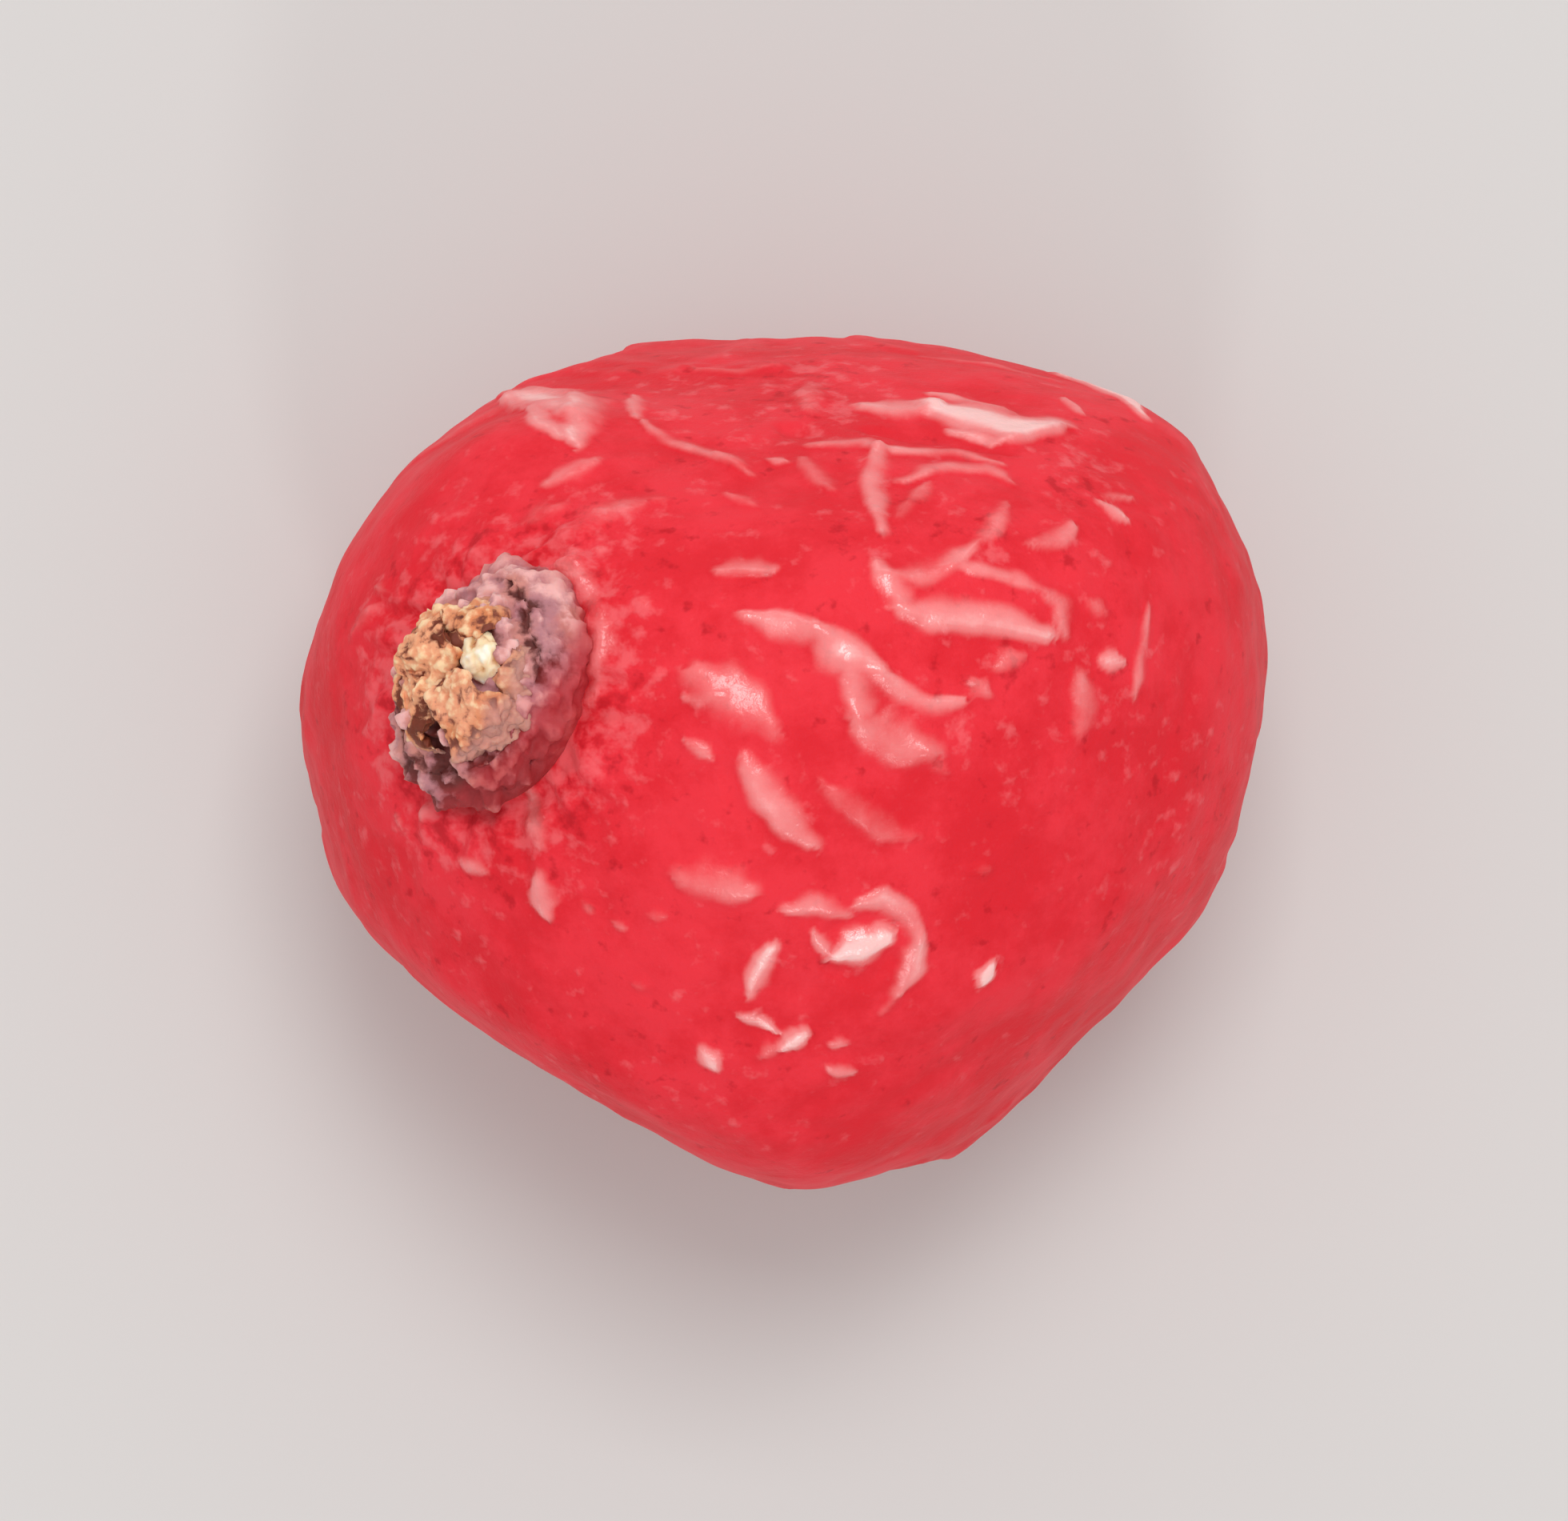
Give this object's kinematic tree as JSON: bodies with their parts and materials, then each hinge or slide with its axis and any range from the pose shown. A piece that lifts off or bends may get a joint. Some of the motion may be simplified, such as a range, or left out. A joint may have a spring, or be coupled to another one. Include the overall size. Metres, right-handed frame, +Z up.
{
  "type": "freeze-dried redcurrant",
  "caption": "Shrivelled round berry on a small flat spot, with the withered flower still on its end.",
  "frame": {"origin": "under the middle of the part's box, on the surface it rests on", "axes": "+Z up, +X towards the broad shoulder, +Y towards the flattened back; the withered flower leans up and towards -X"},
  "size_m": [0.009, 0.008, 0.0082],
  "materials": {
    "skin": "satin, thin crinkled fruit skin",
    "dried_cup": "matt, crumbly dried flower tissue",
    "dried_sepal": "matt, papery",
    "dried_style": "matt, papery"
  },
  "bodies": {
    "root": {"berry": "skin", "flower_cup": "dried_cup", "sepal_1": "dried_sepal", "sepal_2": "dried_sepal", "sepal_3": "dried_sepal", "sepal_4": "dried_sepal", "sepal_5": "dried_sepal", "style_stub": "dried_style"}
  },
  "joints": []
}
